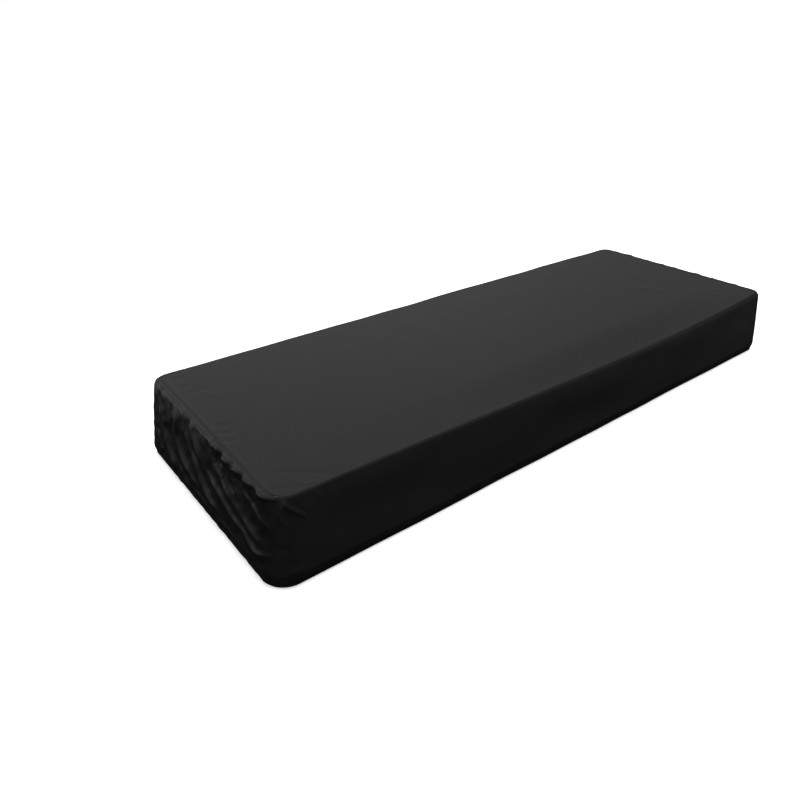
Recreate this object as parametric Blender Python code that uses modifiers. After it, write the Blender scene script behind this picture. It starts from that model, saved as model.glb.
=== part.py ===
# Fitted cloth dust cover for a long keyboard instrument: hollow, open below, sewn from three panels.
# Metres. +X runs along the cover, +Y to its back, +Z up. The origin is the middle of the top's underside,
# which is where the instrument's top carries the cloth. The front edge of the top is at -Y.

import bmesh
import bpy
from math import cos, exp, hypot, pi, radians, sin, sqrt
from mathutils import Vector

# Driving dimensions
LENGTH = 1.350          # top, from end to end
DEPTH = 0.470           # top, from front to back
DROP = 0.147            # from the top's underside to the hem
CLOTH = 0.0015          # thickness of the cloth
SEAM_GAP = 0.0007       # between two panels' outer faces at a seam

# The four sides in order: front, right, back, left. Corner n is where side n begins.
FRONT, RIGHT, BACK, LEFT = range(4)
OUTWARD = [radians(270), radians(0), radians(90), radians(180)]
FLARE = [0.017, 0.013, 0.010, 0.022]           # how far each side's hem stands out
TOP_CORNER = [0.038, 0.029, 0.029, 0.029]      # corner radii of the top in plan
HEM_CORNER = [0.046, 0.034, 0.034, 0.035]      # corner radii of the hem in plan
RIM = [0.004, 0.018, 0.010, 0.016]             # radius of the cloth's bend over the top's edge, at each corner
NO_FLARE = [0.0] * 4

# Section of the edge and the side wall
RIM_ANGLES = [radians(a) for a in (0, 20, 52, 84)]
WALL_ROWS = 16
WALL_BELL = 0.9                                # below 1 the wall stands out sooner
HEM_TUCK = 0.005                               # the hem draws in again
HEM_TUCK_FROM = 0.86                           # share of the wall where that starts

# The front top edge sags and bows out where nothing carries it, most at two thirds of the length
SAG_DOWN = 0.008
SAG_OUT = 0.0105
SAG_SKEW = 1.5
SAG_REACH = 0.10

# Grid of each panel
CORNER_STEPS = 3
MAIN_STEPS = 18
TOP_STEPS = 6
LEFT_STEPS = 46
RIGHT_STEPS = 10

# Folds of an end panel. Each starts under the top seam, `start` from the end's back edge, falls steeply and
# then levels out towards the front, `depth` down; `run` is how soon it levels out. A height is outward, so the
# troughs between the ridges are below zero.
LEFT_FOLDS = [
    # start, depth, run, height, half width
    (0.022, 0.133, 0.062, 0.0040, 0.011),
    (0.080, 0.120, 0.021, -0.0030, 0.010),
    (0.114, 0.114, 0.034, 0.0055, 0.010),
    (0.125, 0.108, 0.050, -0.0045, 0.009),
    (0.135, 0.115, 0.068, 0.0045, 0.009),
    (0.175, 0.112, 0.065, -0.0035, 0.010),
    (0.220, 0.108, 0.056, 0.0065, 0.010),
    (0.240, 0.098, 0.070, -0.0045, 0.009),
    (0.278, 0.093, 0.056, 0.0060, 0.010),
    (0.310, 0.076, 0.045, -0.0030, 0.010),
    (0.365, 0.052, 0.034, 0.0040, 0.010),
]
RIGHT_FOLDS = [
    (0.060, 0.120, 0.060, 0.0030, 0.016),
    (0.230, 0.110, 0.070, 0.0030, 0.018),
]
FOLD_TOP_FADE = 0.030   # folds grow from nothing over this drop
FOLD_HEM_FADE = 0.022   # and are pressed flat again above the hem
FOLD_EDGE_FADE = 0.050  # and before each corner

BLACK_CLOTH = (0.012, 0.012, 0.013, 1.0)
ROUGHNESS = 0.62


def blend(start, end, share):
    return start + (end - start) * share


def smooth(low, high, value):
    share = min(max((value - low) / (high - low), 0.0), 1.0)
    return share * share * (3 - 2 * share)


def outline(side, step, flare, corner, inset=0.0, pull=0.0):
    """A point of a rounded rectangle. `step` goes from -1 to 0 round the second half of the side's first corner,
    from 0 to 1 along the side, and from 1 to 2 round the first half of its last corner. `flare` moves the four
    sides out, `inset` moves the point in again, and `pull` holds the side's two ends back from the middle of the
    corners. Gives the point's x, y and the angle that it faces."""
    low_x, high_x = -LENGTH / 2 - flare[LEFT], LENGTH / 2 + flare[RIGHT]
    low_y, high_y = -DEPTH / 2 - flare[FRONT], DEPTH / 2 + flare[BACK]
    centres = [
        Vector((low_x + corner[0], low_y + corner[0])),
        Vector((high_x - corner[1], low_y + corner[1])),
        Vector((high_x - corner[2], high_y - corner[2])),
        Vector((low_x + corner[3], high_y - corner[3])),
    ]
    first, last = side, (side + 1) % 4
    share = min(max(step, 0.0), 1.0)
    spot = blend(centres[first], centres[last], share)
    radius = blend(corner[first], corner[last], share) - inset
    most = pi / 4 - pull / radius
    angle = OUTWARD[side] + min(max((step - share) * pi / 4, -most), most)
    return spot.x + radius * cos(angle), spot.y + radius * sin(angle), angle


def rim_radius(side, step):
    return blend(RIM[side], RIM[(side + 1) % 4], min(max(step, 0.0), 1.0))


def settle(spot):
    """Lets the front top edge sag and bow out."""
    along = min(max(spot.x / LENGTH + 0.5, 0.0), 1.0)
    near_edge = 1 - smooth(0.0, SAG_REACH, spot.y + DEPTH / 2)
    near_top = 1 - smooth(0.0, DROP, -spot.z)
    amount = sin(pi * along**SAG_SKEW) * near_edge * near_top
    return spot - Vector((0.0, SAG_OUT, SAG_DOWN)) * amount


def fold_height(back, down, folds):
    """How far the end panel stands out, `back` from its back edge and `down` from the top."""
    fade = (
        smooth(0.0, FOLD_TOP_FADE, down)
        * smooth(0.0, FOLD_HEM_FADE, DROP - down)
        * smooth(0.0, FOLD_EDGE_FADE, back)
        * smooth(0.0, FOLD_EDGE_FADE, DEPTH - back)
    )
    height = 0.0
    for start, depth, run, top, width in folds:
        level = exp(-max(back - start, 0.0) / run)
        away = (down - depth * (1 - level)) / sqrt(1 + (depth / run * level) ** 2)
        if back < start:
            away = hypot(away, start - back)
        height += top * exp(-((away / width) ** 2))
    return height * fade


def side_point(side, step, row, folds=None):
    """A point of a side's outer face. Rows go from the top's edge, round the rim and down the wall to the hem."""
    pull = SEAM_GAP / 2
    rim = rim_radius(side, step)
    if row < len(RIM_ANGLES):
        bend = RIM_ANGLES[row]
        if folds and row == 0:
            bend = SEAM_GAP / 2 / rim
        x, y, facing = outline(side, step, NO_FLARE, TOP_CORNER, rim * (1 - sin(bend)), pull)
        return Vector((x, y, CLOTH - rim * (1 - cos(bend))))
    share = (row - len(RIM_ANGLES) + 1) / WALL_ROWS
    edge_x, edge_y, facing = outline(side, step, NO_FLARE, TOP_CORNER, 0.0, pull)
    hem_x, hem_y, facing = outline(side, step, FLARE, HEM_CORNER, 0.0, pull)
    out = share**WALL_BELL
    spot = Vector((blend(edge_x, hem_x, out), blend(edge_y, hem_y, out), 0.0))
    spot.z = blend(CLOTH - rim * (1 - cos(RIM_ANGLES[-1])), -DROP, share)
    stands = -HEM_TUCK * smooth(HEM_TUCK_FROM, 1.0, share)
    if folds:
        stands += fold_height(DEPTH / 2 - spot.y, -spot.z, folds)
    return spot + stands * Vector((cos(facing), sin(facing), 0.0))


def steps_along(straight):
    """Steps of a side: the half corners at both ends and `straight` spans between them."""
    corner = [n / CORNER_STEPS for n in range(CORNER_STEPS)]
    middle = [n / straight for n in range(straight)]
    return [c - 1 for c in corner] + middle + [1 + c for c in corner] + [2.0]


def panel(name, columns, rows, place, collection, material):
    """A sheet of cloth: a grid whose vertices go where place(column, row) says, given its thickness inwards."""
    mesh = bpy.data.meshes.new(name)
    bm = bmesh.new()
    bmesh.ops.create_grid(bm, x_segments=columns, y_segments=rows, size=1.0)
    for vert in bm.verts:
        column = round((vert.co.x + 1) / 2 * columns)
        row = round((vert.co.y + 1) / 2 * rows)
        vert.co = settle(place(column, row))
    bm.to_mesh(mesh)
    bm.free()
    mesh.materials.append(material)
    mesh.shade_smooth()
    sheet = bpy.data.objects.new(name, mesh)
    collection.objects.link(sheet)
    solidify = sheet.modifiers.new("cloth thickness", "SOLIDIFY")
    solidify.thickness = CLOTH
    solidify.offset = -1.0
    return sheet


def end_panel(name, side, straight, folds, collection, material):
    steps = steps_along(straight)
    last_row = len(RIM_ANGLES) - 1 + WALL_ROWS

    def place(column, row):
        return side_point(side, steps[column], last_row - row, folds)

    return panel(name, len(steps) - 1, last_row, place, collection, material)


def main_panel(name, collection, material):
    """Front, top and back in one length. The top is filled in between its four edges."""
    steps = steps_along(MAIN_STEPS)
    columns = len(steps) - 1
    last_row = len(RIM_ANGLES) - 1 + WALL_ROWS

    def front_row(row):
        return [side_point(FRONT, step, row) for step in steps]

    def back_row(row):
        return [side_point(BACK, 1 - step, row) for step in steps]

    def end_edge(side, step):
        x, y, facing = outline(side, step, NO_FLARE, TOP_CORNER, rim_radius(side, step) + SEAM_GAP / 2)
        return Vector((x, y, CLOTH))

    end_steps = steps_along(TOP_STEPS)[1:-1]
    front, back = front_row(0), back_row(0)
    left = [front[0]] + [end_edge(LEFT, 1 - step) for step in end_steps] + [back[0]]
    right = [front[-1]] + [end_edge(RIGHT, step) for step in end_steps] + [back[-1]]
    top = []
    for row in range(1, len(left) - 1):
        over = (left[row].y - left[0].y) / (left[-1].y - left[0].y)
        line = []
        for column in range(columns + 1):
            along = (front[column].x - front[0].x) / (front[-1].x - front[0].x)
            spot = blend(front[column], back[column], over) + blend(left[row], right[row], along)
            spot -= blend(blend(front[0], front[-1], along), blend(back[0], back[-1], along), over)
            line.append(spot)
        top.append(line)
    rows = [front_row(row) for row in range(last_row, -1, -1)] + top
    rows += [back_row(row) for row in range(last_row + 1)]
    return panel(name, columns, len(rows) - 1, lambda column, row: rows[row][column], collection, material)


def black_cloth():
    material = bpy.data.materials.new("black cloth")
    material.use_nodes = True
    shader = material.node_tree.nodes["Principled BSDF"]
    shader.inputs["Base Color"].default_value = BLACK_CLOTH
    shader.inputs["Roughness"].default_value = ROUGHNESS
    shader.inputs["Metallic"].default_value = 0.0
    return material


def build():
    for old in list(bpy.data.objects):
        bpy.data.objects.remove(old)
    collection = bpy.data.collections.new("piano_cover")
    bpy.context.scene.collection.children.link(collection)
    material = black_cloth()
    main_panel("main_panel", collection, material)
    end_panel("left_end", LEFT, LEFT_STEPS, LEFT_FOLDS, collection, material)
    end_panel("right_end", RIGHT, RIGHT_STEPS, RIGHT_FOLDS, collection, material)


build()
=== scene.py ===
# A black fitted dust cover for a digital piano: three sewn panels of thin cloth. The instrument is left out.
# Metres, +X along the cover, +Y to its back, +Z up. The origin is the middle of the top's underside.
from math import pi, radians

import bmesh
import bpy
import numpy as np
from mathutils import Matrix, Vector


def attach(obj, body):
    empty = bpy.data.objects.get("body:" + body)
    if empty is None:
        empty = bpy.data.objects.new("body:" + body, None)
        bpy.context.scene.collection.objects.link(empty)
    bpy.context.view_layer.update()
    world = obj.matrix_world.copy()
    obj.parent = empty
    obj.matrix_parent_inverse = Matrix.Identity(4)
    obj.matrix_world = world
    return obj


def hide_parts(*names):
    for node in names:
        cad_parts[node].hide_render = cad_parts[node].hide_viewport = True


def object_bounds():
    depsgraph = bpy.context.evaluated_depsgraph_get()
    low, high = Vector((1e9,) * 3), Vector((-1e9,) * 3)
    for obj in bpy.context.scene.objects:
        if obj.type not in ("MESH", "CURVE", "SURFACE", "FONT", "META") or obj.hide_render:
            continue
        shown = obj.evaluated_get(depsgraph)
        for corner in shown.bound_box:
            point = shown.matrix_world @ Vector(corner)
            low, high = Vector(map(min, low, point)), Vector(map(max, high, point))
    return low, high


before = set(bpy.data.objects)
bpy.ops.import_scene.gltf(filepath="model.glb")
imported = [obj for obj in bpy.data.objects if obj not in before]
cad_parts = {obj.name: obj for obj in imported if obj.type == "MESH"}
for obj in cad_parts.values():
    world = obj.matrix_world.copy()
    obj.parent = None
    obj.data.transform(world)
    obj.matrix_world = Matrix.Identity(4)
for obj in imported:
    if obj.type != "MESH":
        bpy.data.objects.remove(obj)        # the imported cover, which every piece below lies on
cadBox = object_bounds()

print("frame loaded:", ", ".join(sorted(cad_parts)))

front, right, back, left = range(4)      # the cover's sides, in order round it
outward = [radians(270), radians(0), radians(90), radians(180)]

cover = {
    "flare": [0.017, 0.013, 0.010, 0.022],          # how far each side's hem stands out
    "topCorner": [0.038, 0.029, 0.029, 0.029],      # corner radii in plan, first corner is front left
    "hemCorner": [0.046, 0.034, 0.034, 0.035],
    "rim": [0.004, 0.011, 0.010, 0.012],            # how softly the cloth bends over the top's edge
    "rimTurn": radians(84),
    "bell": 0.9,                                    # below 1 the sides stand out sooner
    "tuck": 0.005,                                  # the hem draws in again
    "tuckFrom": 0.86,
    "sagDown": 0.008,                               # the front edge of the top where nothing carries it
    "sagOut": 0.0105,
    "sagSkew": 1.5,
    "sagReach": 0.10,
    "cloth": 0.0008,
    "hemTurn": 0.014,                               # cloth turned up inside the hem
    "hemBend": 0.002,                               # how far up the turned cloth is still bent
    "panelDrop": 0.165,                             # from the top's edge down to the hem, along the cloth
}
hemEdge = 0.0009                                    # half the thickness of the folded edge
foldsOut = 0.0055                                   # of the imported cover's folds, both ends together
flareShare = 0.89                                   # about what is left of it where the hem draws in
boxLow, boxHigh = cadBox
coverDrop = -boxLow.z
clothTop = boxHigh.z
endFlares = cover["flare"][left] + cover["flare"][right]
sideFlares = cover["flare"][front] + cover["flare"][back]
coverLength = boxHigh.x - boxLow.x - foldsOut - flareShare * endFlares
coverDepth = boxHigh.y - boxLow.y - flareShare * sideFlares
noFlare = [0.0] * 4


def smooth(low, high, value):
    share = np.clip((value - low) / (high - low), 0.0, 1.0)
    return share * share * (3 - 2 * share)


def blend(start, end, share):
    return start + (end - start) * share


def outlineAt(side, step, flare, corner, inset=0.0):
    # step runs -1 to 0 round the first half corner, 0 to 1 along the side, 1 to 2 round the last half corner
    lowX, highX = -coverLength / 2 - flare[left], coverLength / 2 + flare[right]
    lowY, highY = -coverDepth / 2 - flare[front], coverDepth / 2 + flare[back]
    centres = [
        (lowX + corner[0], lowY + corner[0]),
        (highX - corner[1], lowY + corner[1]),
        (highX - corner[2], highY - corner[2]),
        (lowX + corner[3], highY - corner[3]),
    ]
    first, last = side, (side + 1) % 4
    share = np.clip(step, 0.0, 1.0)
    radius = blend(corner[first], corner[last], share) - inset
    angle = outward[side] + (step - share) * pi / 4
    x = blend(centres[first][0], centres[last][0], share) + radius * np.cos(angle)
    y = blend(centres[first][1], centres[last][1], share) + radius * np.sin(angle)
    return x, y, angle


def rimRadius(side, step):
    return blend(cover["rim"][side], cover["rim"][(side + 1) % 4], np.clip(step, 0.0, 1.0))


def settled(points):
    # the front edge of the top sags and bows out, most at two thirds of the length
    along = np.clip(points[..., 0] / coverLength + 0.5, 0.0, 1.0)
    nearEdge = 1 - smooth(0.0, cover["sagReach"], points[..., 1] + coverDepth / 2)
    nearTop = 1 - smooth(0.0, coverDrop, -points[..., 2])
    amount = np.sin(pi * along ** cover["sagSkew"]) * nearEdge * nearTop
    moved = points.copy()
    moved[..., 1] -= cover["sagOut"] * amount
    moved[..., 2] -= cover["sagDown"] * amount
    return moved


def stepsAlong(straight, corner):
    turn = np.linspace(0.0, 1.0, corner + 1)
    return np.concatenate([turn[:-1] - 1, np.linspace(0.0, 1.0, straight + 1), turn[1:] + 1])


def sideForm(side, steps, rimRows, wallRows):
    # rows from the top's edge, round the rim, down the wall to the hem
    rim = rimRadius(side, steps)
    rows = []
    for bend in np.linspace(0.0, cover["rimTurn"], rimRows + 1):
        x, y, _ = outlineAt(side, steps, noFlare, cover["topCorner"], rim * (1 - np.sin(bend)))
        rows.append(np.stack([x, y, clothTop - rim * (1 - np.cos(bend))], axis=-1))
    edgeX, edgeY, _ = outlineAt(side, steps, noFlare, cover["topCorner"])
    hemX, hemY, facing = outlineAt(side, steps, cover["flare"], cover["hemCorner"])
    startZ = clothTop - rim * (1 - np.cos(cover["rimTurn"]))
    for share in np.linspace(0.0, 1.0, wallRows + 1)[1:]:
        out = share ** cover["bell"]
        tuck = cover["tuck"] * smooth(cover["tuckFrom"], 1.0, share)
        x = blend(edgeX, hemX, out) - tuck * np.cos(facing)
        y = blend(edgeY, hemY, out) - tuck * np.sin(facing)
        rows.append(np.stack([x, y, blend(startZ, hemEdge - coverDrop, share)], axis=-1))
    return np.array(rows)


def topForm(frontEdge, backEdge, leftEdge, rightEdge):
    # fills the top in between its four edges
    over = ((leftEdge[:, 1] - leftEdge[0, 1]) / (leftEdge[-1, 1] - leftEdge[0, 1]))[:, None, None]
    along = ((frontEdge[:, 0] - frontEdge[0, 0]) / (frontEdge[-1, 0] - frontEdge[0, 0]))[None, :, None]
    form = blend(frontEdge[None], backEdge[None], over) + blend(leftEdge[:, None], rightEdge[:, None], along)
    corners = blend(blend(frontEdge[0], frontEdge[-1], along), blend(backEdge[0], backEdge[-1], along), over)
    return form - corners


def facings(points):
    # the cloth's outward normals, for a grid whose columns go round the cover and whose rows go up
    along = np.gradient(points, axis=1)
    up = np.gradient(points, axis=0)
    normal = np.cross(along, up)
    return normal / np.maximum(np.linalg.norm(normal, axis=-1, keepdims=True), 1e-12)


def lengthsAlong(points, axis):
    # how far along the cloth each vertex is, in metres
    spans = np.linalg.norm(np.diff(points, axis=axis), axis=-1)
    start = np.zeros_like(np.take(spans, [0], axis=axis))
    return np.cumsum(np.concatenate([start, spans], axis=axis), axis=axis)


def smoothPath(points, spacing=0.003):
    # a smooth line through a few points
    points = np.array(points, float)
    padded = np.concatenate([2 * points[:1] - points[1:2], points, 2 * points[-1:] - points[-2:-1]])
    line = []
    for before, begin, end, after in zip(padded[:-3], padded[1:-2], padded[2:-1], padded[3:]):
        count = max(2, int(np.linalg.norm(end - begin) / spacing))
        t = np.linspace(0.0, 1.0, count, endpoint=False)[:, None]
        bend = 2 * before - 5 * begin + 4 * end - after
        swing = 3 * begin - before - 3 * end + after
        line.append(0.5 * (2 * begin + (end - before) * t + bend * t ** 2 + swing * t ** 3))
    return np.concatenate(line + [points[-1:]])


def fromPath(u, v, points):
    # distance to the line, above zero on its upper side, and how far along the line, 0 to 1
    line = smoothPath(points)
    begins, spans = line[:-1], np.diff(line, axis=0)
    lengths = np.linalg.norm(spans, axis=1)
    ways = spans / lengths[:, None]
    starts = np.concatenate([[0.0], np.cumsum(lengths)[:-1]])
    du = u[..., None] - begins[:, 0]
    dv = v[..., None] - begins[:, 1]
    share = np.clip(du * ways[:, 0] + dv * ways[:, 1], 0.0, lengths)
    away = np.hypot(du - share * ways[:, 0], dv - share * ways[:, 1])
    nearest = np.argmin(away, axis=-1)[..., None]
    side = np.take_along_axis(du * ways[:, 1] - dv * ways[:, 0], nearest, -1)[..., 0]
    place = np.take_along_axis(starts + share, nearest, -1)[..., 0] / lengths.sum()
    return np.take_along_axis(away, nearest, -1)[..., 0] * np.sign(side), place


def foldHeight(u, v, points, height, above, below, fadeIn, fadeOut, soft=0.0012):
    # a fold with its crest along the points, which falls away over one width above it and another below it
    away, place = fromPath(u, v, points)
    width = np.where(away > 0, above, below)
    fall = np.exp(-(np.sqrt(away ** 2 + soft ** 2) - soft) / width)
    spare = 0.02             # a little height is left at its very ends
    return height * fall * smooth(0.0, fadeIn, place + spare) * smooth(0.0, fadeOut, 1 + spare - place)


def crease(u, v, points, height, width):
    # a soft ridge, or a trough where height is below zero, fading at both ends
    away, place = fromPath(u, v, points)
    return height * np.sqrt(np.clip(np.sin(pi * place), 0.0, 1.0)) * np.exp(-(away / width) ** 2)


crestShift = {
    "forward": 2.9,          # times a fold's height, as all three
    "forwardLess": 2.4,      # for each metre from the back edge, because the front is seen less aslant
    "upward": 1.65,
}


def crestPath(points, height):
    # the folds' paths are drawn as they look on a flat panel from the camera, which sees the left end aslant.
    # A crest that stands out has to lie nearer the front and higher than its path to look the same.
    # The right end's paths, which the camera doesn't see, are moved by the same rule
    points = np.array(points, float)
    forward = crestShift["forward"] - crestShift["forwardLess"] * points[:, 0]
    return points + height * np.stack([forward, np.full(len(points), -crestShift["upward"])], axis=-1)


def piled(heights, power=2.5):
    # folds that meet run into each other and don't add up
    return sum(np.maximum(height, 0.0) ** power for height in heights) ** (1 / power)


def unevenness(u, v, size, seed, stretch=1.0, count=14):
    # soft lumps of about this size, from waves in many directions, mostly between -1 and 1
    shortest, longest = 0.7, 1.6         # wave lengths, as shares of the size
    calm = 1.6                           # brings the peaks down to about 1
    rng = np.random.default_rng(seed)
    total = np.zeros(np.shape(u))
    for _ in range(count):
        turn = rng.uniform(0, 2 * pi)
        wave = 2 * pi / (size * rng.uniform(shortest, longest))
        total += np.sin(wave * (u * np.cos(turn) / stretch + v * np.sin(turn)) + rng.uniform(0, 2 * pi))
    return total / np.sqrt(count) / calm


def sheetObject(name, points, clothU, clothV, material):
    # a grid of cloth with its thickness inwards. The cloth map is in metres of cloth
    rows, columns = points.shape[:2]
    number = np.arange(rows * columns).reshape(rows, columns)
    corners = [number[:-1, :-1], number[:-1, 1:], number[1:, 1:], number[1:, :-1]]
    faces = np.stack(corners, axis=-1).reshape(-1, 4)
    mesh = bpy.data.meshes.new(name)
    mesh.from_pydata(points.reshape(-1, 3).tolist(), [], faces.tolist())
    layer = mesh.uv_layers.new(name="cloth")
    spots = np.stack([clothU, clothV], axis=-1).reshape(-1, 2)
    layer.uv.foreach_set("vector", spots[faces.ravel()].astype(np.float32).ravel())
    mesh.materials.append(material)
    mesh.shade_smooth()
    ends = np.empty(len(mesh.edges) * 2, dtype=np.int32)
    mesh.edges.foreach_get("vertices", ends)
    row, column = np.divmod(ends.reshape(-1, 2), columns)
    cutAcross = np.isin(row, (0, rows - 1)).all(axis=1)
    cutAlong = np.isin(column, (0, columns - 1)).all(axis=1)
    mesh.edges.foreach_set("use_edge_sharp", cutAcross | cutAlong)  # the cloth's thin edge is shaded apart
    sheet = bpy.data.objects.new(name, mesh)
    bpy.context.scene.collection.objects.link(sheet)
    solidify = sheet.modifiers.new("cloth thickness", "SOLIDIFY")
    solidify.thickness = cover["cloth"]
    solidify.offset = -1.0
    return sheet


def withTurnedHem(points, inward):
    # the hem's cloth turns under and runs up inside. Rows go from the hem up, inward is level
    turned = []
    gap = 2 * hemEdge
    for rise in (cover["hemTurn"], cover["hemTurn"] * 0.5, cover["hemBend"]):
        turned.append(points[0] + inward * gap + np.array([0, 0, rise]))
    for angle in (radians(45), radians(90), radians(135)):
        lowered = np.array([0, 0, gap / 2 * np.sin(angle)])
        turned.append(points[0] + inward * gap * (1 + np.cos(angle)) / 2 - lowered)
    return np.concatenate([np.array(turned), points])


def levelInward(normals):
    # from an edge's facings, the level way into the cover
    level = normals * np.array([1.0, 1.0, 0.0])
    return -level / np.linalg.norm(level, axis=-1, keepdims=True)


def socketValues(shader, values):
    for name, value in values.items():
        shader.inputs[name].default_value = value


def waveScale(length):
    # the scale at which a wave texture repeats once in this length
    return pi / 10 / length


def wovenBlack():
    # thin, smooth woven polyester: nearly black, faintly mottled, with a plain weave and a soft gloss
    look = {
        "darkest": (0.0095, 0.0095, 0.0098, 1.0),
        "lightest": (0.0145, 0.0145, 0.0148, 1.0),
        "mottleSize": 0.045,         # metres of cloth, as every size here
        "threadPitch": 0.00042,
        "weaveHeight": 0.000012,
        "slubSize": 0.0016,
        "slubHeight": 0.000012,
        "reliefStrength": 0.5,       # of the weave, the slubs and the crumples alike
        "crumpleSize": 0.011,
        "crumpleHeight": 0.00012,
        "smoothest": 0.34,
        "roughest": 0.46,
        "lint": (0.032, 0.032, 0.034, 1.0),
        "lintSize": 0.0022,
        "lintFrom": 0.76,            # only the noise's peaks are lint
        "lintFull": 0.80,
    }
    material = bpy.data.materials.new("wovenBlack")
    material.use_nodes = True
    nodes, links = material.node_tree.nodes, material.node_tree.links
    shader = nodes["Principled BSDF"]
    socketValues(shader, {
        "Metallic": 0.0,
        "IOR": 1.5,
        "Specular IOR Level": 0.18,
        "Sheen Weight": 0.004,
        "Sheen Roughness": 0.4,
    })

    def node(kind, label, **values):
        made = nodes.new(kind)
        made.label = label
        for key, value in values.items():
            if key in made.inputs:
                made.inputs[key].default_value = value
            else:
                setattr(made, key, value)
        return made

    def colourMix(label, first, second):
        mix = node("ShaderNodeMix", label, data_type="RGBA")
        colours = [socket for socket in mix.inputs if socket.type == "RGBA"]
        colours[0].default_value, colours[1].default_value = first, second
        result = [socket for socket in mix.outputs if socket.type == "RGBA"][0]
        return mix.inputs["Factor"], colours, result

    def noise(label, size, detail):
        made = node("ShaderNodeTexNoise", label, Scale=1 / size, Detail=detail, Roughness=0.6)
        links.new(cloth.outputs["UV"], made.inputs["Vector"])
        return made.outputs["Fac"]

    def bump(label, height, distance, strength, below=None):
        made = node("ShaderNodeBump", label, Strength=strength, Distance=distance)
        links.new(height, made.inputs["Height"])
        if below:
            links.new(below, made.inputs["Normal"])
        return made.outputs["Normal"]

    cloth = node("ShaderNodeUVMap", "metres of cloth", uv_map="cloth")
    mottle = noise("mottle", look["mottleSize"], detail=5.0)

    # plain weave: warp and weft cross over and under
    threads = []
    for label, direction in (("warp", "X"), ("weft", "Y")):
        scale = waveScale(2 * look["threadPitch"])
        wave = node("ShaderNodeTexWave", label, bands_direction=direction, Scale=scale)
        links.new(cloth.outputs["UV"], wave.inputs["Vector"])
        signed = node("ShaderNodeMath", label + " up or down", operation="MULTIPLY_ADD")
        signed.inputs[1].default_value, signed.inputs[2].default_value = 2.0, -1.0
        links.new(wave.outputs["Fac"], signed.inputs[0])
        threads.append(signed.outputs[0])
    weave = node("ShaderNodeMath", "weave", operation="MULTIPLY")
    links.new(threads[0], weave.inputs[0])
    links.new(threads[1], weave.inputs[1])

    # colour: mottled, with the odd speck of lint
    factor, colours, dyed = colourMix("dye", look["darkest"], look["lightest"])
    links.new(mottle, factor)
    specks = node("ShaderNodeMapRange", "lint specks")
    socketValues(specks, {"From Min": look["lintFrom"], "From Max": look["lintFull"]})
    links.new(noise("lint", look["lintSize"], detail=1.0), specks.inputs["Value"])
    factor, colours, linted = colourMix("lint on it", look["darkest"], look["lint"])
    links.new(specks.outputs["Result"], factor)
    links.new(dyed, colours[0])
    links.new(linted, shader.inputs["Base Color"])

    rough = node("ShaderNodeMapRange", "roughness")
    socketValues(rough, {"To Min": look["smoothest"], "To Max": look["roughest"]})
    links.new(mottle, rough.inputs["Value"])
    links.new(rough.outputs["Result"], shader.inputs["Roughness"])

    normal = bump("weave height", weave.outputs[0], look["weaveHeight"], look["reliefStrength"])
    slubs = noise("slubs", look["slubSize"], detail=2.0)
    normal = bump("slub height", slubs, look["slubHeight"], look["reliefStrength"], normal)
    crumple = noise("crumple", look["crumpleSize"], detail=4.0)
    normal = bump("crumple height", crumple, look["crumpleHeight"], look["reliefStrength"], normal)
    links.new(normal, shader.inputs["Normal"])
    return material


def blackThread():
    # the hem's thread, a little glossier than the cloth, with its twist
    look = {
        "darkest": (0.010, 0.010, 0.011, 1.0),
        "lightest": (0.024, 0.024, 0.026, 1.0),
        "twist": 0.0007,             # length of one turn of the thread
        "twistUneven": 1.5,
        "twistHeight": 0.00005,
        "smoothest": 0.36,
        "roughest": 0.5,
    }
    material = bpy.data.materials.new("blackThread")
    material.use_nodes = True
    nodes, links = material.node_tree.nodes, material.node_tree.links
    shader = nodes["Principled BSDF"]
    socketValues(shader, {"IOR": 1.5, "Specular IOR Level": 0.5, "Sheen Weight": 0.02})
    place = nodes.new("ShaderNodeTexCoord")
    wave = nodes.new("ShaderNodeTexWave")
    wave.bands_direction = "DIAGONAL"
    socketValues(wave, {"Scale": waveScale(look["twist"]), "Distortion": look["twistUneven"]})
    links.new(place.outputs["Object"], wave.inputs["Vector"])
    dye = nodes.new("ShaderNodeValToRGB")
    dye.color_ramp.elements[0].color = look["darkest"]
    dye.color_ramp.elements[1].color = look["lightest"]
    links.new(wave.outputs["Fac"], dye.inputs["Fac"])
    links.new(dye.outputs["Color"], shader.inputs["Base Color"])
    rough = nodes.new("ShaderNodeMapRange")
    socketValues(rough, {"To Min": look["smoothest"], "To Max": look["roughest"]})
    links.new(wave.outputs["Fac"], rough.inputs["Value"])
    links.new(rough.outputs["Result"], shader.inputs["Roughness"])
    twist = nodes.new("ShaderNodeBump")
    twist.inputs["Distance"].default_value = look["twistHeight"]
    links.new(wave.outputs["Fac"], twist.inputs["Height"])
    links.new(twist.outputs["Normal"], shader.inputs["Normal"])
    return material


def plainFloor():
    material = bpy.data.materials.new("paleFloor")
    material.use_nodes = True
    socketValues(material.node_tree.nodes["Principled BSDF"], {
        "Base Color": (0.88, 0.88, 0.88, 1.0),
        "Roughness": 0.9,
        "Specular IOR Level": 0.1,
        "Emission Color": (1.0, 1.0, 1.0, 1.0),
        "Emission Strength": 0.5,          # it glows a little, so the cover's shadow on it stays faint
    })
    return material


clothFinish = wovenBlack()
threadFinish = blackThread()
print("materials made")

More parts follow.
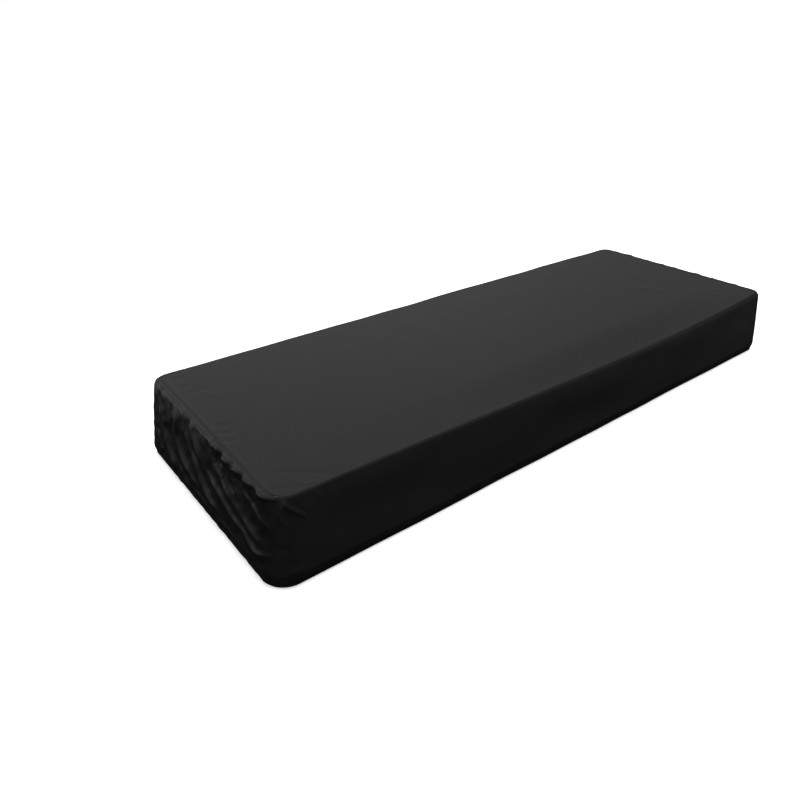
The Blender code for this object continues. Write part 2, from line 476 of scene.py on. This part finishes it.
leftEnd = {
    "folds": [
        # crest as (from the back edge, down from the seam), height, width above, width below, fades
        ([(0.040, 0.094), (0.043, 0.108), (0.050, 0.122), (0.064, 0.134)], 0.0028, 0.007, 0.012, 0.3, 0.2),
        ([(0.046, 0.026), (0.050, 0.055), (0.060, 0.078), (0.073, 0.096), (0.087, 0.112), (0.106, 0.127),
          (0.130, 0.134)], 0.0038, 0.010, 0.014, 0.30, 0.2),
        ([(0.052, 0.066), (0.070, 0.064), (0.090, 0.058), (0.112, 0.054)], 0.0034, 0.030, 0.012, 0.3, 0.3),
        ([(0.112, 0.012), (0.119, 0.030), (0.124, 0.046), (0.125, 0.062), (0.128, 0.078), (0.138, 0.089),
          (0.154, 0.100), (0.176, 0.109), (0.198, 0.118), (0.225, 0.127)], 0.0044, 0.010, 0.017, 0.22, 0.2),
        ([(0.138, 0.004), (0.149, 0.018), (0.155, 0.032), (0.164, 0.044), (0.176, 0.055), (0.187, 0.066),
          (0.200, 0.075), (0.214, 0.084), (0.227, 0.096), (0.243, 0.108), (0.266, 0.117), (0.300, 0.123)],
         0.0040, 0.008, 0.014, 0.12, 0.15),
        ([(0.180, 0.010), (0.195, 0.034), (0.214, 0.049), (0.236, 0.062), (0.262, 0.073)],
         0.0050, 0.020, 0.014, 0.25, 0.4),
        ([(0.206, 0.042), (0.228, 0.059), (0.243, 0.068), (0.262, 0.075),
          (0.282, 0.080), (0.302, 0.084), (0.322, 0.091), (0.343, 0.097), (0.367, 0.102), (0.388, 0.103),
          (0.408, 0.109), (0.432, 0.109), (0.452, 0.104)], 0.0040, 0.0065, 0.018, 0.16, 0.10),
        ([(0.250, 0.002), (0.262, 0.012), (0.270, 0.026), (0.277, 0.040), (0.290, 0.048), (0.306, 0.053),
          (0.319, 0.061), (0.333, 0.068), (0.352, 0.073), (0.372, 0.077), (0.390, 0.081), (0.407, 0.087),
          (0.425, 0.090), (0.445, 0.084)], 0.0042, 0.008, 0.010, 0.10, 0.15),
        ([(0.296, 0.048), (0.319, 0.060), (0.340, 0.069), (0.362, 0.074), (0.390, 0.079)],
         0.0048, 0.018, 0.010, 0.3, 0.3),
        ([(0.368, 0.032), (0.385, 0.034), (0.400, 0.034), (0.411, 0.039), (0.424, 0.044), (0.438, 0.050),
          (0.450, 0.056), (0.462, 0.066)], 0.0022, 0.005, 0.020, 0.3, 0.3),
        ([(0.404, 0.072), (0.416, 0.078), (0.430, 0.083)], 0.0016, 0.006, 0.006, 0.3, 0.3),
        ([(0.330, 0.034), (0.346, 0.032), (0.356, 0.040), (0.372, 0.050), (0.388, 0.058)],
         0.0018, 0.006, 0.008, 0.3, 0.3),
        ([(0.160, 0.008), (0.176, 0.020), (0.196, 0.030)], 0.0014, 0.006, 0.008, 0.3, 0.4),
        ([(0.226, 0.006), (0.238, 0.024), (0.246, 0.042)], 0.0018, 0.006, 0.007, 0.3, 0.4),
        ([(0.300, 0.110), (0.330, 0.116), (0.370, 0.119), (0.410, 0.121), (0.440, 0.119)],
         0.0012, 0.004, 0.006, 0.3, 0.2),
        ([(0.180, 0.128), (0.250, 0.131), (0.310, 0.130), (0.370, 0.128), (0.430, 0.127)],
         0.0016, 0.005, 0.006, 0.1, 0.1),
        ([(0.262, 0.020), (0.274, 0.013), (0.288, 0.012), (0.300, 0.017)], 0.0042, 0.0055, 0.018, 0.4, 0.4),
        ([(0.298, 0.013), (0.312, 0.018), (0.326, 0.017), (0.338, 0.011)], 0.0050, 0.0060, 0.018, 0.4, 0.4),
        ([(0.334, 0.010), (0.348, 0.014), (0.362, 0.013), (0.372, 0.009)], 0.0042, 0.0050, 0.016, 0.4, 0.4),
        ([(0.370, 0.010), (0.384, 0.012), (0.398, 0.011), (0.410, 0.008)], 0.0036, 0.0050, 0.014, 0.4, 0.4),
        ([(0.410, 0.009), (0.424, 0.013), (0.440, 0.014), (0.454, 0.011)], 0.0034, 0.0050, 0.012, 0.4, 0.4),
    ],
    "creases": [
        ([(0.088, 0.060), (0.108, 0.083), (0.129, 0.103), (0.157, 0.115), (0.190, 0.122)], -0.0016, 0.009),
        ([(0.220, 0.056), (0.234, 0.070), (0.251, 0.083), (0.275, 0.093)], -0.0016, 0.006),
        ([(0.283, 0.036), (0.288, 0.042), (0.296, 0.040)], -0.0022, 0.004),
        ([(0.323, 0.040), (0.329, 0.045), (0.336, 0.047)], -0.0020, 0.004),
        ([(0.348, 0.034), (0.354, 0.040), (0.362, 0.046)], -0.0016, 0.004),
        ([(0.446, 0.062), (0.445, 0.072), (0.451, 0.083)], -0.0016, 0.0035),
        ([(0.440, 0.118), (0.448, 0.115), (0.450, 0.124)], -0.0018, 0.0035),
        ([(0.406, 0.020), (0.412, 0.028), (0.420, 0.030)], -0.0014, 0.004),
        ([(0.455, 0.096), (0.468, 0.102), (0.480, 0.110)], 0.0010, 0.004),
        ([(0.470, 0.050), (0.476, 0.062), (0.486, 0.070)], 0.0009, 0.004),
        ([(0.346, 0.013), (0.358, 0.007), (0.368, 0.004)], 0.0018, 0.0026),
        ([(0.382, 0.011), (0.394, 0.008), (0.406, 0.007)], 0.0014, 0.0024),
        ([(0.266, 0.010), (0.276, 0.014), (0.282, 0.022)], 0.0014, 0.0030),
        ([(0.288, 0.018), (0.294, 0.024), (0.296, 0.032)], -0.0016, 0.0036),
        ([(0.306, 0.024), (0.322, 0.021), (0.340, 0.023)], -0.0014, 0.0040),
        ([(0.352, 0.022), (0.366, 0.018), (0.382, 0.021)], -0.0010, 0.0040),
    ],
    "seamPuckers": [
        # along the seam from the back edge, height, width, how far it reaches down
        (0.060, 0.0008, 0.012, 0.030), (0.085, 0.0010, 0.012, 0.024), (0.215, 0.0014, 0.009, 0.024),
        (0.262, 0.0014, 0.0070, 0.024), (0.288, 0.0012, 0.0060, 0.022), (0.305, 0.0016, 0.0060, 0.022),
        (0.331, 0.0020, 0.0070, 0.024), (0.353, 0.0014, 0.0045, 0.022), (0.373, 0.0016, 0.0065, 0.018),
        (0.394, 0.0014, 0.0055, 0.018), (0.411, 0.0010, 0.0050, 0.016), (0.436, 0.0014, 0.0070, 0.016),
        (0.458, 0.0010, 0.0050, 0.014), (0.471, 0.0012, 0.0040, 0.012),
    ],
    "foldDepth": 1.3,           # every fold's height is multiplied by this
    "edgeFade": 0.020,
    "hemFlat": 0.004,
    "hemFade": 0.020,
    "crumple": 0.0006,
    "straight": 352,
    "corner": 10,
    "rimRows": 11,
    "wallRows": 108,
    "seed": 11,
}
rightEnd = {
    "folds": [
        ([(0.060, 0.006), (0.074, 0.040), (0.100, 0.076), (0.140, 0.104), (0.190, 0.122)],
         0.0040, 0.020, 0.016, 0.2, 0.3),
        ([(0.190, 0.010), (0.205, 0.040), (0.232, 0.070), (0.275, 0.094), (0.330, 0.110)],
         0.0034, 0.018, 0.014, 0.2, 0.3),
        ([(0.330, 0.008), (0.342, 0.030), (0.366, 0.054), (0.402, 0.072), (0.440, 0.084)],
         0.0026, 0.014, 0.012, 0.2, 0.3),
        ([(0.120, 0.008), (0.132, 0.030), (0.150, 0.050)], 0.0014, 0.010, 0.010, 0.3, 0.5),
        ([(0.270, 0.004), (0.282, 0.022), (0.300, 0.038)], 0.0016, 0.010, 0.008, 0.3, 0.5),
    ],
    "creases": [],
    "seamPuckers": [
        (0.050, 0.0014, 0.008, 0.024), (0.094, 0.0022, 0.007, 0.026), (0.151, 0.0014, 0.008, 0.020),
        (0.198, 0.0024, 0.007, 0.028), (0.236, 0.0016, 0.006, 0.020), (0.301, 0.0026, 0.009, 0.024),
        (0.344, 0.0018, 0.006, 0.022), (0.402, 0.0020, 0.008, 0.022),
    ],
    "foldDepth": 1.0,
    "edgeFade": 0.020,
    "hemFlat": 0.004,
    "hemFade": 0.020,
    "crumple": 0.0002,
    "straight": 230,
    "corner": 8,
    "rimRows": 10,
    "wallRows": 74,
    "seed": 23,
}
seam = {
    "groove": 0.0011,        # how deep the cloth is drawn in at a seam
    "grooveWidth": 0.0024,
    "ridge": 0.0007,         # the seam allowance shows through beside it
    "ridgeAway": 0.0065,
    "ridgeWidth": 0.0032,
    "pitch": 0.0095,         # of the fine puckers that the thread draws
    "fine": 0.00022,
    "fineSteady": 0.6,       # share of their height that is even, and the share that varies
    "fineVaried": 0.4,
    "fineVariedSize": 0.06,
    "fineDown": 0.2,         # below 1 they vary more slowly down the cloth
    "fineDrift": 2.0,        # how far their spacing wanders
    "fineDriftSize": 0.05,
    "fineReach": 0.010,
    "fineStart": 0.002,
    "swell": 0.010,          # how far below the seam its puckers are full
    "hold": 0.006,           # and the folds, which the seam holds flat
    "sideGroove": 0.00008,   # the upright seams at the corners lie flatter
    "sideGrooveWidth": 0.0012,
    "puckerSlant": 0.5,      # seam puckers run towards the back as they go down
}
hem = {
    "height": 0.014,         # of the double cloth above the edge
    "step": 0.0006,
    "stepBelow": 0.0012,     # where the double cloth ends, the step is spread over this stretch
    "stepAbove": 0.0008,
    "stitchUp": 0.0115,      # the row of stitches
    "stitchPitch": 0.0036,
    "stitchLength": 0.0029,
    "stitchThick": 0.00027,
    "stitchSides": 6,
    "stitchShape": [         # rings from end to end: along its length, thickness, lift, all as shares
        (-0.5, 0.45, -0.9), (-0.22, 1.0, 0.3), (0.22, 1.0, 0.3), (0.5, 0.45, -0.9),
    ],
    "stitchDraw": 0.0003,    # how far the thread pulls the cloth in
    "drawWidth": 0.0015,
    "pucker": 0.0006,        # small waves that the hem's stitching leaves
    "puckerSize": 0.024,
    "puckerTall": 0.3,       # below 1 they are taller than they are wide
    "puckerRise": (0.001, 0.008),
    "puckerFall": (0.010, 0.026),
    "puckerFade": 0.012,     # beside the corner seams
}
folding = {
    "sway": 0.0022,          # the folds' lines wander along the panel
    "swaySize": 0.045,
    "swayDown": 0.7,         # and by this share of it up and down
    "uneven": 0.25,          # how much the folds' height varies
    "unevenSize": 0.06,
    "atHem": 0.25,           # share of the folds' height that is left at the hem
    "crumpleSize": 0.022,
    "crumpleWaves": 24,
    "crumpleFade": (0.002, 0.02),
}


def seamRelief(along, away, seed):
    # groove, allowance and fine puckers beside a seam
    varied = unevenness(along, away * seam["fineDown"], seam["fineVariedSize"], seed)
    draw = seam["fineSteady"] + seam["fineVaried"] * varied
    groove = -seam["groove"] * np.exp(-(away / seam["grooveWidth"]) ** 2)
    ridge = seam["ridge"] * np.exp(-((away - seam["ridgeAway"]) / seam["ridgeWidth"]) ** 2)
    drift = seam["fineDrift"] * unevenness(along, away, seam["fineDriftSize"], seed + 1)
    fine = seam["fine"] * draw * np.sin(2 * pi * along / seam["pitch"] + drift)
    return groove + ridge + fine * np.exp(-away / seam["fineReach"]) * smooth(0.0, seam["fineStart"], away)


def hemRelief(up):
    # the double cloth's step, drawn in at the row of stitches
    step = hem["step"] * (1 - smooth(hem["height"] - hem["stepBelow"], hem["height"] + hem["stepAbove"], up))
    return step - hem["stitchDraw"] * np.exp(-((up - hem["stitchUp"]) / hem["drawWidth"]) ** 2)


def hemPuckers(along, up, seed):
    wave = unevenness(along, up * hem["puckerTall"], hem["puckerSize"], seed)
    return hem["pucker"] * wave * smooth(*hem["puckerRise"], up) * (1 - smooth(*hem["puckerFall"], up))


def endRelief(form, panel):
    top = np.flip(lengthsAlong(np.flip(form, 0), 0), 0)           # down the cloth from the top seam
    up = lengthsAlong(form, 0)                                    # up the cloth from the hem
    across = lengthsAlong(form, 1)
    edgeAway = np.minimum(across, across[:, -1:] - across)
    backAway = coverDepth / 2 - form[..., 1]
    sway = folding["sway"] * unevenness(backAway, top, folding["swaySize"], panel["seed"])
    u, v = backAway + sway, top + folding["swayDown"] * sway
    deep = panel["foldDepth"]
    heights = [
        foldHeight(u, v, crestPath(path, deep * height), deep * height, above, below, fadeIn, fadeOut)
        for path, height, above, below, fadeIn, fadeOut in panel["folds"]
    ]
    uneven = unevenness(backAway, top, folding["unevenSize"], panel["seed"] + 3)
    relief = piled(heights) * (1 + folding["uneven"] * uneven)
    for path, height, width in panel["creases"]:
        relief += crease(u, v, path, height, width)
    for place, height, width, reach in panel["seamPuckers"]:
        lean = (backAway - place + seam["puckerSlant"] * top) / width
        relief += height * np.exp(-lean ** 2) * smooth(0.0, seam["swell"], top) * np.exp(-top / reach)
    aboveHem = smooth(panel["hemFlat"], panel["hemFade"], up)
    held = smooth(0.0, seam["hold"], top)
    kept = folding["atHem"] + (1 - folding["atHem"]) * aboveHem
    relief *= smooth(0.0, panel["edgeFade"], edgeAway) * kept
    relief *= held
    size, waves = folding["crumpleSize"], folding["crumpleWaves"]
    crumple = unevenness(backAway, top, size, panel["seed"] + 5, count=waves)
    relief += panel["crumple"] * crumple * smooth(*folding["crumpleFade"], edgeAway) * held
    relief += seamRelief(backAway, top, panel["seed"] + 7)
    relief -= seam["sideGroove"] * np.exp(-(edgeAway / seam["sideGrooveWidth"]) ** 2)
    relief += hemRelief(up)
    relief += hemPuckers(backAway, up, panel["seed"] + 9) * smooth(0.0, hem["puckerFade"], edgeAway)
    return relief


def stitchRow(points):
    # places, ways along and facings of the stitches above a hem. Rows of points go up from the hem
    up = lengthsAlong(points, 0)
    facing = facings(points)
    line = np.array([[np.interp(hem["stitchUp"], up[:, i], points[:, i, axis]) for axis in range(3)]
                     for i in range(points.shape[1])])
    out = np.array([[np.interp(hem["stitchUp"], up[:, i], facing[:, i, axis]) for axis in range(3)]
                    for i in range(points.shape[1])])
    reach = np.concatenate([[0.0], np.cumsum(np.linalg.norm(np.diff(line, axis=0), axis=1))])
    spots = np.arange(hem["stitchPitch"], reach[-1] - hem["stitchPitch"] / 2, hem["stitchPitch"])
    centre = np.stack([np.interp(spots, reach, line[:, axis]) for axis in range(3)], axis=-1)
    stride = 0.001           # a short way on along the row, which gives each stitch its direction
    ahead = np.stack([np.interp(spots + stride, reach, line[:, axis]) for axis in range(3)], axis=-1)
    out = np.stack([np.interp(spots, reach, out[:, axis]) for axis in range(3)], axis=-1)
    way = (ahead - centre) / np.linalg.norm(ahead - centre, axis=1, keepdims=True)
    return centre, way, out / np.linalg.norm(out, axis=1, keepdims=True)


def hemStitches(name, rows):
    # every stitch of one panel's hem in one mesh: spindles of thread that dip into the cloth at their ends
    rings = hem["stitchShape"]
    around = hem["stitchSides"]
    verts, faces = [], []
    for centre, way, out in rows:
        side = np.cross(out, way)
        for place, along, up, across in zip(centre, way, out, side):
            base = len(verts)
            for share, thick, lift in rings:
                middle = place + along * share * hem["stitchLength"] + up * lift * hem["stitchThick"]
                for step in range(around):
                    turn = 2 * pi * step / around
                    outwards = across * np.cos(turn) + up * np.sin(turn)
                    verts.append(middle + outwards * thick * hem["stitchThick"])
            for ring in range(len(rings) - 1):
                for step in range(around):
                    a = base + ring * around + step
                    b = base + ring * around + (step + 1) % around
                    faces.append((a, a + around, b + around, b))
            faces.append(tuple(base + step for step in range(around)))
            faces.append(tuple(base + (len(rings) - 1) * around + step for step in reversed(range(around))))
    mesh = bpy.data.meshes.new(name)
    mesh.from_pydata([tuple(v) for v in verts], [], faces)
    mesh.materials.append(threadFinish)
    mesh.shade_smooth()
    stitches = bpy.data.objects.new(name, mesh)
    bpy.context.scene.collection.objects.link(stitches)
    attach(stitches, "root")
    return stitches


def endPanel(name, stitchesName, node, side, panel):
    steps = stepsAlong(panel["straight"], panel["corner"])
    form = settled(sideForm(side, steps, panel["rimRows"], panel["wallRows"]))[::-1]
    normals = facings(form)
    points = form + normals * endRelief(form, panel)[..., None]
    stitches = hemStitches(stitchesName, [stitchRow(points)])
    points = withTurnedHem(points, levelInward(normals[0]))
    sheet = sheetObject(name, points, lengthsAlong(points, 1), lengthsAlong(points, 0), clothFinish)
    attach(sheet, "root")
    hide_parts(node)
    return sheet, stitches


leftSheet, leftStitches = endPanel("leftEndCloth", "leftEndStitches", "left_end", left, leftEnd)
rightSheet, rightStitches = endPanel("rightEndCloth", "rightEndStitches", "right_end", right, rightEnd)
print("end panels made:", len(leftSheet.data.polygons), "and", len(rightSheet.data.polygons), "faces")

mainPanel = {
    "topCreases": [
        # points as (from the left end, from the front edge), height, width
        ([(0.016, 0.224), (0.028, 0.217), (0.040, 0.209)], 0.00055, 0.0028),
        ([(0.014, 0.213), (0.024, 0.207), (0.036, 0.199)], -0.00055, 0.0030),
        ([(0.016, 0.200), (0.028, 0.191), (0.038, 0.182)], 0.00060, 0.0028),
        ([(0.014, 0.188), (0.024, 0.180), (0.034, 0.175)], -0.00050, 0.0030),
        ([(0.024, 0.242), (0.036, 0.241), (0.054, 0.238), (0.070, 0.236)], 0.00035, 0.0040),
        ([(0.016, 0.232), (0.032, 0.228), (0.048, 0.226)], -0.00040, 0.0032),
        ([(0.014, 0.172), (0.022, 0.168), (0.034, 0.166)], 0.00040, 0.0034),
        ([(0.020, 0.369), (0.036, 0.365), (0.052, 0.362), (0.068, 0.366)], -0.00055, 0.0032),
        ([(0.040, 0.350), (0.054, 0.353), (0.062, 0.340), (0.066, 0.326)], 0.00045, 0.0045),
        ([(0.028, 0.398), (0.038, 0.406), (0.046, 0.412)], 0.00060, 0.0045),
        ([(0.026, 0.388), (0.036, 0.393), (0.048, 0.396)], -0.00040, 0.0040),
        ([(0.028, 0.424), (0.040, 0.430), (0.056, 0.428)], -0.00045, 0.0050),
        ([(0.030, 0.072), (0.048, 0.057), (0.072, 0.037), (0.100, 0.016)], -0.00060, 0.0050),
        ([(0.046, 0.076), (0.066, 0.060), (0.092, 0.042), (0.118, 0.026)], 0.00030, 0.0060),
        ([(0.020, 0.052), (0.030, 0.036), (0.042, 0.026)], 0.0006, 0.0030),
        ([(0.050, 0.022), (0.062, 0.014), (0.080, 0.008)], 0.0005, 0.0030),
        ([(1.106, 0.214), (1.134, 0.196), (1.150, 0.168), (1.156, 0.134)], 0.00120, 0.0090),
        ([(1.272, 0.300), (1.296, 0.286), (1.318, 0.280)], -0.00060, 0.0090),
        ([(1.288, 0.180), (1.306, 0.176), (1.322, 0.170)], 0.00040, 0.0040),
        ([(1.292, 0.120), (1.308, 0.112), (1.322, 0.108)], 0.00040, 0.0040),
    ],
    "frontCreases": [
        # points as (round the corner from the end seam, down from the top)
        ([(0.009, 0.008), (0.016, 0.018), (0.026, 0.027), (0.035, 0.034), (0.044, 0.043)], 0.0026, 0.0024),
        ([(0.020, 0.012), (0.030, 0.024), (0.040, 0.036), (0.046, 0.044)], -0.0010, 0.0030),
        ([(0.009, 0.012), (0.005, 0.024), (0.004, 0.034), (0.009, 0.046)], 0.0016, 0.0018),
        ([(0.052, 0.001), (0.058, 0.012), (0.068, 0.022)], 0.0007, 0.0040),
        ([(0.086, 0.001), (0.090, 0.010), (0.098, 0.020)], -0.0005, 0.0045),
        ([(0.130, 0.001), (0.136, 0.012), (0.148, 0.026)], 0.0005, 0.0050),
        ([(0.012, 0.128), (0.026, 0.124), (0.044, 0.129)], 0.0010, 0.0050),
        ([(0.002, 0.080), (0.006, 0.086), (0.010, 0.092)], -0.0007, 0.0030),
        ([(1.250, 0.030), (1.290, 0.050), (1.320, 0.080)], 0.0010, 0.0100),
    ],
    "topUneven": 0.0002,
    "topUnevenSize": 0.12,
    "sideUneven": 0.0010,       # of the front and the back
    "sideUnevenSize": 0.11,
    "sideUnevenStretch": 1.6,
    "unevenFade": 0.03,         # flat beside the seams and under the front rim
    "fineColumns": 66,          # over the first stretch beside the left seam
    "fineStretch": 0.085,
    "columns": 152,
    "evenSpacing": 0.75,        # the rest of the spacing widens towards the right end
    "corner": 10,
    "frontRows": 48,
    "rimRows": 7,
    "topRows": 78,
    "backRows": 24,
    "seed": 41,
}


def mainSteps():
    fineEnd = mainPanel["fineStretch"] / coverLength
    fine = np.linspace(0.0, fineEnd, mainPanel["fineColumns"] + 1)
    wide = np.linspace(0.0, 1.0, mainPanel["columns"] + 1)
    even = mainPanel["evenSpacing"]
    straight = np.concatenate([fine[:-1], fineEnd + (1 - fineEnd) * (even * wide + (1 - even) * wide ** 2)])
    turn = np.linspace(0.0, 1.0, mainPanel["corner"] + 1)
    return np.concatenate([turn[:-1] - 1, straight, turn[1:] + 1])


def topEdge(side, steps):
    x, y, _ = outlineAt(side, steps, noFlare, cover["topCorner"], rimRadius(side, steps))
    return np.stack([x, y, np.full(x.shape, clothTop)], axis=-1)


def mainForm():
    steps = mainSteps()
    frontSide = sideForm(front, steps, mainPanel["rimRows"], mainPanel["frontRows"])
    backSide = sideForm(back, 1 - steps, mainPanel["rimRows"], mainPanel["backRows"])
    endSteps = stepsAlong(mainPanel["topRows"], mainPanel["corner"])[1:-1]
    leftEdge = np.concatenate([frontSide[0][:1], topEdge(left, 1 - endSteps), backSide[0][:1]])
    rightEdge = np.concatenate([frontSide[0][-1:], topEdge(right, endSteps), backSide[0][-1:]])
    top = topForm(frontSide[0], backSide[0], leftEdge, rightEdge)[1:-1]
    return settled(np.concatenate([frontSide[::-1], top, backSide])), len(frontSide), len(top)


def mainRelief(form, frontRows, topRows):
    along = form[..., 0] + coverLength / 2
    fromFront = form[..., 1] + coverDepth / 2
    up = lengthsAlong(form, 0)
    fromBackHem = up[-1:] - up
    across = lengthsAlong(form, 1)
    edgeAway = np.minimum(across, across[:, -1:] - across)
    row = np.arange(form.shape[0])[:, None]
    onTop = ((row >= frontRows) & (row < frontRows + topRows)).astype(float)
    onFront = (row < frontRows).astype(float)
    onBack = (row >= frontRows + topRows).astype(float)
    downFront = up[frontRows - 1:frontRows] - up

    relief = np.zeros(along.shape)
    for path, height, width in mainPanel["topCreases"]:
        relief += crease(along, fromFront, path, height, width) * onTop
    for path, height, width in mainPanel["frontCreases"]:
        relief += crease(across, downFront, path, height, width) * onFront
    seed = mainPanel["seed"]
    flat = smooth(0.0, mainPanel["unevenFade"], edgeAway)
    underRim = smooth(0.0, mainPanel["unevenFade"], downFront)
    size, stretch = mainPanel["sideUnevenSize"], mainPanel["sideUnevenStretch"]
    topWave = unevenness(along, fromFront, mainPanel["topUnevenSize"], seed)
    frontWave = unevenness(along, up, size, seed + 1, stretch)
    backWave = unevenness(along, up, size, seed + 2, stretch)
    relief += mainPanel["topUneven"] * topWave * onTop * flat
    relief += mainPanel["sideUneven"] * frontWave * onFront * flat * underRim
    relief += mainPanel["sideUneven"] * backWave * onBack * flat
    relief += seamRelief(fromFront, edgeAway, seed + 3) * onTop
    relief -= seam["sideGroove"] * np.exp(-(edgeAway / seam["sideGrooveWidth"]) ** 2) * (1 - onTop)
    relief += hemRelief(up) + hemRelief(fromBackHem)
    puckers = hemPuckers(along, up, seed + 5) + hemPuckers(along, fromBackHem, seed + 6)
    relief += puckers * smooth(0.0, hem["puckerFade"], edgeAway)
    return relief


def mainPanelSheet():
    form, frontRows, topRows = mainForm()
    normals = facings(form)
    points = form + normals * mainRelief(form, frontRows, topRows)[..., None]
    backUp = points[:frontRows + topRows - 1:-1, ::-1]
    stitches = hemStitches("mainPanelStitches", [stitchRow(points[:frontRows]), stitchRow(backUp)])
    points = withTurnedHem(points, levelInward(normals[0]))
    points = withTurnedHem(points[::-1], levelInward(normals[-1]))[::-1]
    clothU, clothV = lengthsAlong(points, 1), lengthsAlong(points, 0)
    sheet = sheetObject("mainPanelCloth", points, clothU, clothV, clothFinish)
    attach(sheet, "root")
    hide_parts("main_panel")
    return sheet, stitches


mainSheet, mainStitches = mainPanelSheet()
print("main panel made:", len(mainSheet.data.polygons), "faces")

studio = {
    "floorDrop": 0.0015,
    "floorSize": 60.0,
    "aim": (-0.271, -0.248),     # shares of the top's length and depth
    "aimRise": 0.001,
    "distance": 1.1195,
    "azimuth": -38.28,
    "elevation": 29.48,
    "roll": 0.26,
    "lens": 29.38,
    "lights": [
        # name, where it shines from, how wide it looks, strength, whether it shows in the cloth's gloss
        ("overhead", (0.34, 0.14, 1.00), 56, 3.9, False),
        ("overheadLeft", (-0.35, 0.30, 0.90), 34, 0.40, True),
        ("leftHigh", (-0.50, 0.66, 0.52), 36, 0.30, True),
        ("backRight", (0.54, 0.68, 0.50), 80, 0.35, True),
        ("backHigh", (0.32, 0.80, 0.60), 60, 0.23, True),
        ("left", (-0.78, 0.58, 0.25), 46, 0.26, True),
        ("frontRight", (0.46, -0.82, 0.22), 90, 0.33, True),
        ("frontLeft", (-0.66, -0.70, 0.26), 50, 0.78, True),
        ("backFill", (-0.35, 0.93, 0.10), 40, 0.24, True),
    ],
}


def makeFloor():
    bm = bmesh.new()
    bmesh.ops.create_grid(bm, x_segments=1, y_segments=1, size=studio["floorSize"])
    mesh = bpy.data.meshes.new("floor")
    bm.to_mesh(mesh)
    bm.free()
    mesh.materials.append(plainFloor())
    floor = bpy.data.objects.new("floor", mesh)
    floor.location.z = -coverDrop - studio["floorDrop"]
    floor.visible_diffuse = False        # the cloth neither takes light from the floor nor mirrors it
    floor.visible_glossy = False
    bpy.context.scene.collection.objects.link(floor)


def makeLights():
    # wide soft lights, the same all over the floor, and a white surround that only shows behind it
    for name, place, width, strength, inGloss in studio["lights"]:
        light = bpy.data.lights.new(name, "SUN")
        light.angle = radians(width)
        light.energy = strength
        lamp = bpy.data.objects.new(name, light)
        lamp.rotation_euler = Vector(place).to_track_quat("Z", "Y").to_euler()
        lamp.visible_glossy = inGloss
        bpy.context.scene.collection.objects.link(lamp)
    world = bpy.data.worlds.new("studio")
    world.use_nodes = True
    world.node_tree.nodes["Background"].inputs["Color"].default_value = (1.0, 1.0, 1.0, 1.0)
    bpy.context.scene.world = world
    world.cycles_visibility.diffuse = False
    world.cycles_visibility.glossy = False
    bpy.context.scene.view_settings.view_transform = "Standard"


def makeCamera():
    azimuth, elevation = radians(studio["azimuth"]), radians(studio["elevation"])
    level = np.cos(elevation)
    toCamera = Vector((np.sin(azimuth) * level, -np.cos(azimuth) * level, np.sin(elevation)))
    aimX, aimY = studio["aim"]
    aim = Vector((aimX * coverLength, aimY * coverDepth, clothTop + studio["aimRise"]))
    camera = bpy.data.cameras.new("camera")
    camera.lens = studio["lens"]
    holder = bpy.data.objects.new("camera", camera)
    holder.location = aim + toCamera * studio["distance"]
    turn = (-toCamera).to_track_quat("-Z", "Y").to_matrix().to_4x4()
    turn = turn @ Matrix.Rotation(radians(studio["roll"]), 4, "Z")
    holder.rotation_euler = turn.to_euler()
    bpy.context.scene.collection.objects.link(holder)
    bpy.context.scene.camera = holder


makeFloor()
makeLights()
makeCamera()
print("studio made")
